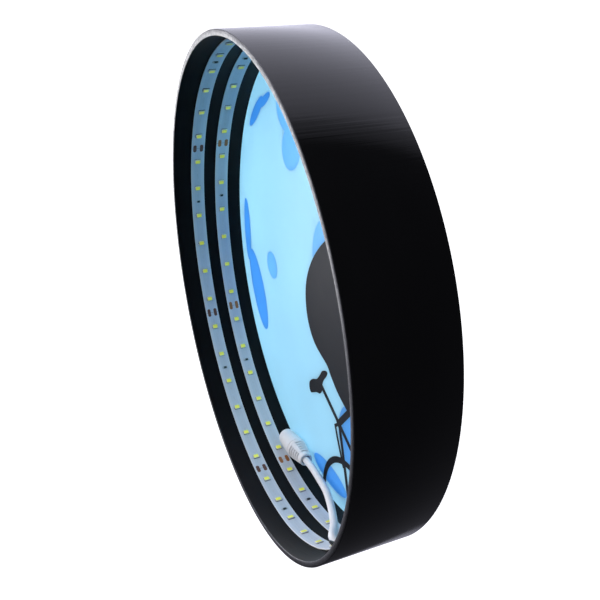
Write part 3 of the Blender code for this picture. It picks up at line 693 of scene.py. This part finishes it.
class FacePlane:
    """One triangulation of the face's plane, cut along every outline, from which each flat piece is taken."""

    def __init__(self):
        self.points = []
        self.rounds = []
        self.flat = None

    def add(self, loop):
        """Takes a loop in millimetres, and gives the number that it is known by."""
        first = len(self.points)
        self.points += [Vector(point) for point in turned_left(loop)]
        self.rounds.append(list(range(first, len(self.points))))
        return len(self.rounds) - 1

    def plate(self, name, keep, y_low, y_high):
        """A plate of the parts of the plane that keep says, given the numbers of the loops around each."""
        if self.flat is None:
            self.flat = delaunay_2d_cdt(self.points, [], self.rounds, 1, 0.0005)
        work = bmesh.new()
        corners = [work.verts.new((point.x * MM, y_low, point.y * MM)) for point in self.flat[0]]
        for triangle, inside in zip(self.flat[2], self.flat[5]):
            if keep(set(inside)):
                work.faces.new([corners[i] for i in triangle])
        bmesh.ops.delete(work, geom=[c for c in corners if not c.link_faces], context="VERTS")
        bmesh.ops.dissolve_limit(work, angle_limit=0.001, verts=work.verts, edges=work.edges)
        raised = bmesh.ops.extrude_face_region(work, geom=work.faces[:], use_keep_orig=True)
        for item in raised["geom"]:
            if isinstance(item, bmesh.types.BMVert):
                item.co.y = y_high
        return finish_mesh(work, name, 30.0)


def circle(centre, radius, count):
    loop = []
    for i in range(count):
        angle = 2 * math.pi * i / count
        loop.append((centre[0] + radius * math.cos(angle), centre[1] + radius * math.sin(angle)))
    return loop


def ellipse(centre_x, centre_z, half_length, half_width, tilt, grow):
    """An ellipse's outline in millimetres, with its tilt in degrees, widened by grow."""
    turn = math.radians(tilt)
    loop = []
    for i in range(96):
        angle = 2 * math.pi * i / 96
        along = (half_length + grow) * math.cos(angle)
        across = (half_width + grow) * math.sin(angle)
        x = centre_x + along * math.cos(turn) - across * math.sin(turn)
        z = centre_z + along * math.sin(turn) + across * math.cos(turn)
        loop.append((x, z))
    return loop


def bar_loop(start, end, width):
    """A bar's outline in millimetres, a little longer than its two ends so that bars join."""
    along = (Vector(end) - Vector(start)).normalized()
    across = Vector((-along.y, along.x)) * width / 2
    first = Vector(start) - along * 0.4 * width
    last = Vector(end) + along * 0.4 * width
    return [tuple(first + across), tuple(first - across), tuple(last - across), tuple(last + across)]


def add_face():
    """The face disc, with the crater patches and the dark picture let in through its whole thickness."""
    plane = FacePlane()
    disc = plane.add(circle((0.0, 0.0), (REBATE_RADIUS - FACE_GAP) / MM, 288))
    edge = plane.add(circle((0.0, 0.0), PICTURE_RADIUS / MM, 288))
    shapes = {plane.add(smooth_loop(TREE, 6)), plane.add(smooth_loop(SADDLE, 6))}
    shapes |= {plane.add(bar_loop(*bar)) for bar in BARS}
    shapes.add(plane.add(circle(CRANK_AXLE, CHAINRING_RADIUS, 60)))
    wheels = {}
    for hub in (REAR_WHEEL, FRONT_WHEEL):
        tyre = plane.add(circle(hub, WHEEL_RADIUS + TYRE_WIDTH / 2, 180))
        wheels[tyre] = plane.add(circle(hub, WHEEL_RADIUS - TYRE_WIDTH / 2, 180))
    patches = {}
    for craters, look, slot in FACE_PATCHES:
        for name, ellipses in craters.items():
            patches[name] = ({plane.add(ellipse(*sizes, 0.15)) for sizes in ellipses}, look, slot)

    def in_picture(inside):
        on_tyre = any(tyre in inside and hole not in inside for tyre, hole in wheels.items())
        return edge in inside and (on_tyre or bool(inside & shapes))

    def in_patch(name, inside):
        return bool(inside & patches[name][0]) and disc in inside and not in_picture(inside)

    def plain(inside):
        covered = in_picture(inside) or any(in_patch(name, inside) for name in patches)
        return disc in inside and not covered

    add_piece("face", plane.plate("face", plain, FRONT, FACE_BACK), ["face"], ["face_panel"])
    for name, (_, look, slot) in patches.items():
        patch = f"{name}_patch"
        mesh = plane.plate(patch, lambda inside: in_patch(name, inside), FRONT - PROUD, FACE_BACK + PROUD)
        add_piece(patch, mesh, [look], [name])
    mesh = plane.plate("picture", in_picture, FRONT - 2 * PROUD, FACE_BACK + 2 * PROUD)
    add_piece("picture", mesh, ["picture"], ["tree_and_bicycle"])


add_face()


# LED strips ------------------------------------------------------------------


def ripple(s):
    """The loose end's small waves, which die out along the strip."""
    return 0.22 * MM * math.sin(s / (3.1 * MM)) * ease(1 - s / (45 * MM))


def on_wall(s, height, across, centre_y, loose_end):
    """The place that is s along a strip, a height above the wall, and across from its middle."""
    radius = RING_BORE - height
    y = centre_y - across
    shift = FRONT_SHIFT
    if loose_end:
        shift = REAR_SHIFT
        radius -= END_LIFT * ease(1 - s / END_LIFT_LENGTH)
        y += END_DRIFT * ease(1 - s / END_DRIFT_LENGTH)
        radius -= abs(ripple(s)) * (0.5 - across / STRIP_WIDTH)
    angle = STRIP_START + (s + shift) / WRAP_RADIUS
    return Vector((radius * math.cos(angle), y, radius * math.sin(angle)))


def on_strip(centre_y, loose_end):
    """A placing function for a strip: its place along, across, and the height above the wall."""

    def put(s, across, height):
        return on_wall(s, height, across, centre_y, loose_end)

    return put


def band(work, start, end, layer, width, centre_y, loose_end, look=0, step=1.2 * MM, edge=0.12 * MM):
    """A strip of the given layer with softened top corners, swept from start to end. Its UV runs along it."""
    low, high = layer
    half = width / 2
    soft = min(edge, (high - low) * 0.45)
    section = [
        (-half, low), (-half, high - soft), (-half + soft, high), (-half * 0.5, high), (0.0, high),
        (half * 0.5, high), (half - soft, high), (half, high - soft), (half, low),
    ]
    count = max(2, math.ceil((end - start) / step))
    uv = work.loops.layers.uv.verify()
    rows = []
    for i in range(count + 1):
        s = start + (end - start) * i / count
        rows.append((s, [work.verts.new(on_wall(s, h, a, centre_y, loose_end)) for a, h in section]))
    for (s0, first), (s1, second) in zip(rows, rows[1:]):
        for k in range(len(section)):
            m = (k + 1) % len(section)
            face = work.faces.new((first[k], first[m], second[m], second[k]))
            face.material_index = look
            spots = ((s0, k), (s0, m), (s1, m), (s1, k))
            for loop, (s, index) in zip(face.loops, spots):
                loop[uv].uv = (s / STRIP_WIDTH, 0.5 + section[index][0] / width)
    for s, row in (rows[0], rows[-1]):
        face = work.faces.new(row)
        face.material_index = look


def block(work, outline, low, high, place, looks, taper=0.0, soft=0.06 * MM):
    """A raised block with softened top edges, from an outline of (along, across) and a placing function."""
    middle = Vector((sum(p[0] for p in outline), sum(p[1] for p in outline))) / len(outline)

    def ring(height, inset):
        made = []
        for point in outline:
            away = Vector(point) - middle
            pulled = middle + away * (1 - inset / away.length)
            made.append(work.verts.new(place(pulled.x, pulled.y, height)))
        return made

    rings = [ring(low, 0.0), ring(high - soft, taper), ring(high, taper + soft)]
    for first, second in zip(rings, rings[1:]):
        for i in range(len(outline)):
            j = (i + 1) % len(outline)
            face = work.faces.new((first[i], first[j], second[j], second[i]))
            face.material_index = looks[0]
    top = work.faces.new(rings[-1])
    top.material_index = looks[1]
    base = work.faces.new(rings[0])
    base.material_index = looks[0]


def rectangle(along, across, half_along, half_across, cut=0.0):
    """A rectangle's outline with its corners cut, all in metres."""
    loop = []
    for x, z in ((1, 1), (-1, 1), (-1, -1), (1, -1)):
        if cut:
            first = (along + x * (half_along - cut), across + z * half_across)
            second = (along + x * half_along, across + z * (half_across - cut))
            loop += [second, first] if x * z > 0 else [first, second]
        else:
            loop.append((along + x * half_along, across + z * half_across))
    return loop


def stadium(along, across, half_along, half_across, count=10):
    """A slot-shaped outline, long along the strip."""
    loop = []
    reach = half_along - half_across
    for side in (1, -1):
        for i in range(count + 1):
            angle = math.pi * i / count + (-math.pi / 2 if side > 0 else math.pi / 2)
            x = along + side * reach + half_across * math.cos(angle)
            loop.append((x, across + half_across * math.sin(angle)))
    return loop


def add_board(place, centre_y, loose_end):
    """The flexible board, with bare copper pads at each cut line."""
    work = bmesh.new()
    band(work, 0.0, STRIP_LENGTH, BOARD, STRIP_WIDTH, centre_y, loose_end)
    put = on_strip(centre_y, loose_end)
    for cut in range(SEGMENTS + 1):
        s = min(max(cut * SEGMENT_LENGTH, 1.2 * MM), STRIP_LENGTH - 1.2 * MM)
        long = 2.5 * MM if 0 < cut < SEGMENTS else 1.1 * MM
        # The front strip's pads are copper, the rear strip's a darker brown.
        look = 1 if place == "front" else 2
        for side in (-1, 1):
            outline = stadium(s, side * PAD_SPREAD, long, 1.0 * MM)
            block(work, outline, BOARD[1] - 0.1 * MM, PAD_TOP, put, (look, look), soft=0.02 * MM)
        if 0 < cut < SEGMENTS:
            outline = rectangle(s, 0.0, 0.07 * MM, 3.9 * MM)
            block(work, outline, BOARD[1] - 0.1 * MM, BOARD[1] + 0.012 * MM, put, (3, 3), soft=0.004 * MM)
    mesh = finish_mesh(work, f"board_{place}", 40.0)
    looks = ["board", "copper", "pad_dark", "pad_dark"]
    add_piece(f"board_{place}", mesh, looks, [f"strip_board_{place}"])


def add_tape(place, centre_y, loose_end):
    """The sticky foam tape under a board, a little narrower than it."""
    work = bmesh.new()
    width = STRIP_WIDTH - 0.5 * MM
    band(work, 0.1 * MM, STRIP_LENGTH - 0.1 * MM, TAPE, width, centre_y, loose_end, edge=0.02 * MM)
    mesh = finish_mesh(work, f"tape_{place}")
    add_piece(f"tape_{place}", mesh, ["tape"], [f"strip_tape_{place}"])


def add_leds(place, number, centre_y, loose_end):
    """Six LEDs: a white package with tinned ends and a sunk window of gel, on a printed track."""
    start = number * SEGMENT_LENGTH
    work = bmesh.new()
    band(
        work, start + 4.2 * MM, start + SEGMENT_LENGTH - 4.2 * MM, TRACK, 1.1 * MM,
        centre_y, loose_end, look=3, step=3.0 * MM, edge=0.02 * MM,
    )
    put = on_strip(centre_y, loose_end)
    low, high = PACKAGE
    for i in range(LEDS_PER_SEGMENT):
        s = start + (i + 0.5) * LED_PITCH
        # A near-black base a little wider than the package: painted shade round its foot.
        foot = rectangle(s, 0.0, *LED_SHADE_BASE, 0.12 * MM)
        block(work, foot, low, low + 0.28 * MM, put, (4, 4), soft=0.03 * MM)
        body = rectangle(s, 0.0, *LED_BODY, 0.12 * MM)
        block(work, body, low + 0.2 * MM, high, put, (0, 0), taper=0.05 * MM)
        window = rectangle(s, -0.1 * MM, *LED_WINDOW, 0.25 * MM)
        block(work, window, high - 0.2 * MM, high + 0.03 * MM, put, (1, 1), soft=0.02 * MM)
        for end in (-1, 1):
            tin = rectangle(s, end * 1.9 * MM, *LED_TIN, 0.1 * MM)
            block(work, tin, low, low + 0.25 * MM, put, (2, 2), soft=0.08 * MM)
    mesh = finish_mesh(work, f"leds_{place}_{number + 1}", 40.0)
    looks = ["package", "phosphor", "tin", "track", "foot"]
    add_piece(f"leds_{place}_{number + 1}", mesh, looks, [f"led_segment_{place}_{number + 1}"])


def add_resistor(place, number, centre_y, loose_end):
    """A chip resistor across the strip, with a tinned cap at each end."""
    s = number * SEGMENT_LENGTH + 4.0 * LED_PITCH
    work = bmesh.new()
    put = on_strip(centre_y, loose_end)
    body = rectangle(s, 0.0, *RESISTOR_BODY)
    block(work, body, BOARD[1], BOARD[1] + 0.55 * MM, put, (0, 0))
    for end in (-1, 1):
        cap = rectangle(s, end * 1.13 * MM, *RESISTOR_CAP, 0.08 * MM)
        block(work, cap, BOARD[1], BOARD[1] + 0.58 * MM, put, (1, 1))
        foot = rectangle(s, end * 1.45 * MM, *RESISTOR_FOOT, 0.1 * MM)
        block(work, foot, BOARD[1], BOARD[1] + 0.2 * MM, put, (1, 1), soft=0.08 * MM)
    which = f"{place}_{number + 1}"
    mesh = finish_mesh(work, f"chip_{which}", 40.0)
    add_piece(f"chip_{which}", mesh, ["resistor", "tin"], [f"resistor_{which}"])


for strip, (middle, loose) in STRIPS.items():
    add_tape(strip, middle, loose)
    add_board(strip, middle, loose)
    for segment in range(SEGMENTS):
        add_leds(strip, segment, middle, loose)
        add_resistor(strip, segment, middle, loose)


# Solder, jumpers and cores ---------------------------------------------------


def pad_place(strip, sign, s, height):
    """The place at a height above the wall, over the row of a strip's positive or negative pads."""
    centre_y, loose_end = STRIPS[strip]
    across = PAD_SPREAD if sign == "positive" else -PAD_SPREAD
    return on_wall(s, height, across, centre_y, loose_end)


def add_solder(strip, sign):
    """A solder joint: a low fillet that rises to a rounded hump over the wire's end."""
    work = bmesh.new()
    lathe(work, [(radius * MM, height * MM) for radius, height in SOLDER_PROFILE], 28, close=False)
    middle = pad_place(strip, sign, PAD_S, BOARD[1])
    for vertex in work.verts:
        bulge = 1.0 + 0.06 * math.sin(3 * math.atan2(vertex.co.y, vertex.co.x))
        vertex.co = middle + Vector((vertex.co.x * bulge, vertex.co.y * bulge * 0.9, vertex.co.z))
    mesh = finish_mesh(work, f"joint_{strip}_{sign}", 60.0)
    add_piece(f"joint_{strip}_{sign}", mesh, ["solder"], [f"solder_{strip}_{sign}"])


def add_jumper(sign, turn_s, turn_height, look):
    """A short wire that feeds the front strip from the rear one, round their first ends."""
    height = 1.5 * MM
    wire_end = PAD_S - 1.1 * MM
    bend_s = -1.2 * MM
    rear = [pad_place("rear", sign, wire_end, height), pad_place("rear", sign, bend_s / 2, height)]
    front = [pad_place("front", sign, bend_s, turn_height), pad_place("front", sign, wire_end, height)]
    start = pad_place("rear", sign, turn_s, turn_height)
    end = pad_place("front", sign, turn_s, turn_height)
    bends = [start.lerp(end, share) for share in (0.08, 0.3, 0.6, 0.9)]
    points = smooth_route([tuple(point / MM) for point in rear + bends + front], 40)
    tube(f"jumper_wire_{sign}", points, JUMPER_RADIUS, look, [f"jumper_{sign}"])


def add_core(sign, look, offset):
    """One of the lead's two cores, from inside the jacket's end to its solder joint."""
    start = Vector(JACKET_END[0]) * MM
    away = (start - Vector(JACKET_END[1]) * MM).normalized()
    start = start + Vector(offset) * MM - away * 2.0 * MM
    end = pad_place("rear", sign, PAD_S + 0.9 * MM, 1.6 * MM)
    route = [start, start + away * 3.4 * MM, end + Vector((3.2, 0.0, 1.8)) * MM, end]
    points = smooth_route([tuple(point / MM) for point in route], 30)
    tube(f"core_{sign}", points, CORE_RADIUS, look, [f"lead_core_{sign}"])


for strip in ("rear", "front"):
    for sign in ("positive", "negative"):
        add_solder(strip, sign)
add_jumper("negative", -3.2 * MM, 3.2 * MM, "black")
add_jumper("positive", -1.2 * MM, 1.2 * MM, "red")
add_core("negative", "black", (0.3, 0.8, 0.3))
add_core("positive", "red", (-0.3, -0.8, -0.3))


# The jack --------------------------------------------------------------------


def jack_matrix():
    """Places the jack: its mouth at the origin, and its tail towards -Z."""
    mouth = Vector(JACK_MOUTH) * MM
    axis = (mouth - Vector(JACK_TAIL) * MM).normalized()
    side = axis.cross(Vector((0.0, 1.0, 0.0))).normalized()
    up = axis.cross(side)
    return Matrix.Translation(mouth) @ Matrix((side, up, axis)).transposed().to_4x4()


JACK = jack_matrix()


def add_jack_shell():
    """The white moulding. Its tail has rows of short slots, four to a row."""
    profile = [
        (3.6, -0.1), (3.7, 0.0), (4.25, 0.0), (4.55, -0.12), (4.75, -0.4), (4.85, -0.9),
        (5.0, -2.6), (5.3, -6.5), (5.65, -11.0), (5.98, -15.2), (6.05, -15.9), (6.0, -16.15),
        (5.72, -16.3), (5.68, -16.55), (5.75, -16.75), (5.98, -16.85), (6.05, -17.1), (5.95, -18.0),
    ]
    slots = []
    height = SLOT_START
    for row in range(SLOT_ROWS):
        radius = 5.78 - row * 0.36
        slots.append(height)
        profile += [
            (radius, height), (radius - 0.03, height - 0.06), (radius - 0.05, height - 0.14),
            (radius - 0.1, height - 1.08), (radius - 0.12, height - 1.16), (radius - 0.14, height - 1.22),
        ]
        height -= SLOT_PITCH
    profile += [(3.98, -29.0), (3.8, -30.1), (3.72, -30.8), (3.5, -31.0), (2.75, -31.0), (2.6, -30.7)]
    profile += [(2.6, -28.0), (0.0, -28.0), (0.0, -14.0), (3.6, -14.0)]
    work = bmesh.new()
    lathe(work, [(radius * MM, z * MM) for radius, z in profile], 144)
    sunk = set()
    for vertex in work.verts:
        z = vertex.co.z / MM
        radius = math.hypot(vertex.co.x, vertex.co.y) / MM
        if radius < 3.4 or not any(top - 1.1 < z < top - 0.1 for top in slots):
            continue
        angle = math.degrees(math.atan2(vertex.co.y, vertex.co.x)) - SLOT_TURN
        from_middle = abs((angle + SLOT_SPACING / 2) % SLOT_SPACING - SLOT_SPACING / 2)
        depth = SLOT_DEPTH * ease((SLOT_REACH - from_middle) / 5.0)
        if depth > SLOT_DEPTH / 2:
            sunk.add(vertex)
        vertex.co.x *= (radius - depth) / radius
        vertex.co.y *= (radius - depth) / radius
    # Faces deep in the slots take the darker grey: painted shade on the slot floors.
    for face in work.faces:
        if all(vertex in sunk for vertex in face.verts):
            face.material_index = 1
    work.transform(JACK)
    mesh = finish_mesh(work, "jack_body", 32.0)
    add_piece("jack_body", mesh, ["vinyl", "slot"], ["jack_shell"])


def add_jack_pin():
    """The centre pin, with a rounded tip."""
    profile = [(0.0, -1.5), (0.3, -1.52), (0.6, -1.7), (0.85, -2.0), (1.0, -2.5), (1.0, -13.6), (0.0, -13.6)]
    work = bmesh.new()
    lathe(work, [(radius * MM, z * MM) for radius, z in profile], 48, close=False)
    work.transform(JACK)
    mesh = finish_mesh(work, "jack_pin", 30.0)
    add_piece("jack_pin", mesh, ["plated"], ["jack_centre_pin"])


def repaint(node, look):
    """Gives a finer material to a CAD node, which keeps its shape."""
    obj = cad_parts[node]
    obj.data.materials.clear()
    obj.data.materials.append(LOOKS[look])


add_jack_shell()
add_jack_pin()
repaint("jack_socket", "black")
repaint("jack_terminal", "plated")
repaint("jack_spring_contact", "plated")


# Studio ----------------------------------------------------------------------


def add_light(name, place, size, power, glossy=True):
    """A square soft box that points at the middle of the object."""
    data = bpy.data.lights.new(name, "AREA")
    data.energy = power
    data.size = size
    light = bpy.data.objects.new(name, data)
    light.location = place
    light.rotation_euler = (-place).to_track_quat("-Z", "Y").to_euler()
    light.visible_glossy = glossy
    light.visible_camera = False
    bpy.context.scene.collection.objects.link(light)


def add_cove():
    """A white studio cove: a flat floor that curves up into a round wall and a ceiling, all out of reach."""
    profile = [
        (0.0, -0.6), (1.2, -0.6), (1.7, -0.55), (2.1, -0.4),
        (2.4, -0.1), (2.5, 0.3), (2.5, 2.6), (0.0, 2.6),
    ]
    work = bmesh.new()
    lathe(work, profile, 96, close=False)
    mesh = finish_mesh(work, "cove", 60.0)
    obj = bpy.data.objects.new("cove", mesh)
    bpy.context.scene.collection.objects.link(obj)
    shader = Shader("cove_paper")
    place = shader.node("ShaderNodeTexCoord")
    split = shader.node("ShaderNodeSeparateXYZ", Vector=place.outputs["Object"])
    cloud = shader.noise(shader.coordinates(), 3.0, 2.0)
    shade = shader.ramp(cloud, [(0.3, (0.80, 0.80, 0.80)), (0.7, (0.82, 0.82, 0.82))])
    shader.put(shader.main, "Base Color", shade)
    shader.main.inputs["Roughness"].default_value = 0.9
    shader.main.inputs["Specular IOR Level"].default_value = 0.1
    # The glow is painted light: weaker on the floor and rising up the wall, so the floor reads darker than
    # the wall.
    rise = shader.node("ShaderNodeMapRange", Value=split.outputs["Z"])
    for name, value in (("From Min", -0.6), ("From Max", 0.0), ("To Min", 0.45), ("To Max", 1.1)):
        shader.put(rise, name, value)
    shader.main.inputs["Emission Color"].default_value = (1.0, 1.0, 1.0, 1.0)
    shader.put(shader.main, "Emission Strength", rise.outputs["Result"])
    mesh.materials.append(shader.material)
    obj.visible_glossy = False
    obj.visible_diffuse = False
    obj.visible_transmission = False
    obj.visible_shadow = False


def add_world():
    """The room that the gloss shows: a hard-edged ceiling light overhead, and dimness low at the back."""
    world = bpy.data.worlds.new("room")
    bpy.context.scene.world = world
    world.use_nodes = True
    tree = world.node_tree
    back = tree.nodes["Background"]
    place = tree.nodes.new("ShaderNodeTexCoord")
    dot = tree.nodes.new("ShaderNodeVectorMath")
    dot.operation = "DOT_PRODUCT"
    dot.inputs[1].default_value = Vector((0.5, -0.095, 0.85)).normalized()
    tree.links.new(place.outputs["Generated"], dot.inputs[0])
    ramp = tree.nodes.new("ShaderNodeValToRGB")
    tree.links.new(dot.outputs["Value"], ramp.inputs["Fac"])
    stops = [
        (0.0, 0.05), (0.18, 0.05), (0.26, 0.25), (0.335, 0.35),
        (0.35, 0.37), (0.357, 0.58), (0.5, 0.85), (0.8, 1.1),
    ]
    while len(ramp.color_ramp.elements) < len(stops):
        ramp.color_ramp.elements.new(1.0)
    for element, (position, value) in zip(ramp.color_ramp.elements, stops):
        element.position = position
        element.color = (value, value, value * 1.2, 1.0)
    tree.links.new(ramp.outputs["Color"], back.inputs["Color"])
    split = tree.nodes.new("ShaderNodeSeparateXYZ")
    tree.links.new(place.outputs["Generated"], split.inputs["Vector"])
    low = tree.nodes.new("ShaderNodeMapRange")
    side = tree.nodes.new("ShaderNodeMapRange")
    dim = tree.nodes.new("ShaderNodeMix")
    dim.data_type = "FLOAT"
    for made, axis, limits in ((low, "Z", (-0.05, 0.2, 0.1, 1.0)), (side, "Y", (0.0, 0.12, 0.0, 1.0))):
        tree.links.new(split.outputs[axis], made.inputs["Value"])
        for name, value in zip(("From Min", "From Max", "To Min", "To Max"), limits):
            made.inputs[name].default_value = value
    dim.inputs[2].default_value = 1.0
    tree.links.new(side.outputs["Result"], dim.inputs[0])
    tree.links.new(low.outputs["Result"], dim.inputs[3])
    tree.links.new(dim.outputs[0], back.inputs["Strength"])


add_world()
add_cove()
add_light("front_window", Vector((0.1, -0.5, 0.6)), 0.5, 16.5, glossy=False)
add_light("key", Vector((0.81, 0.27, 0.50)) * 1.3, 0.7, 7.0)
add_light("fill", Vector((-0.5, 1.3, 0.5)), 0.9, 13.0, glossy=False)

bpy.context.scene.view_settings.view_transform = "Standard"
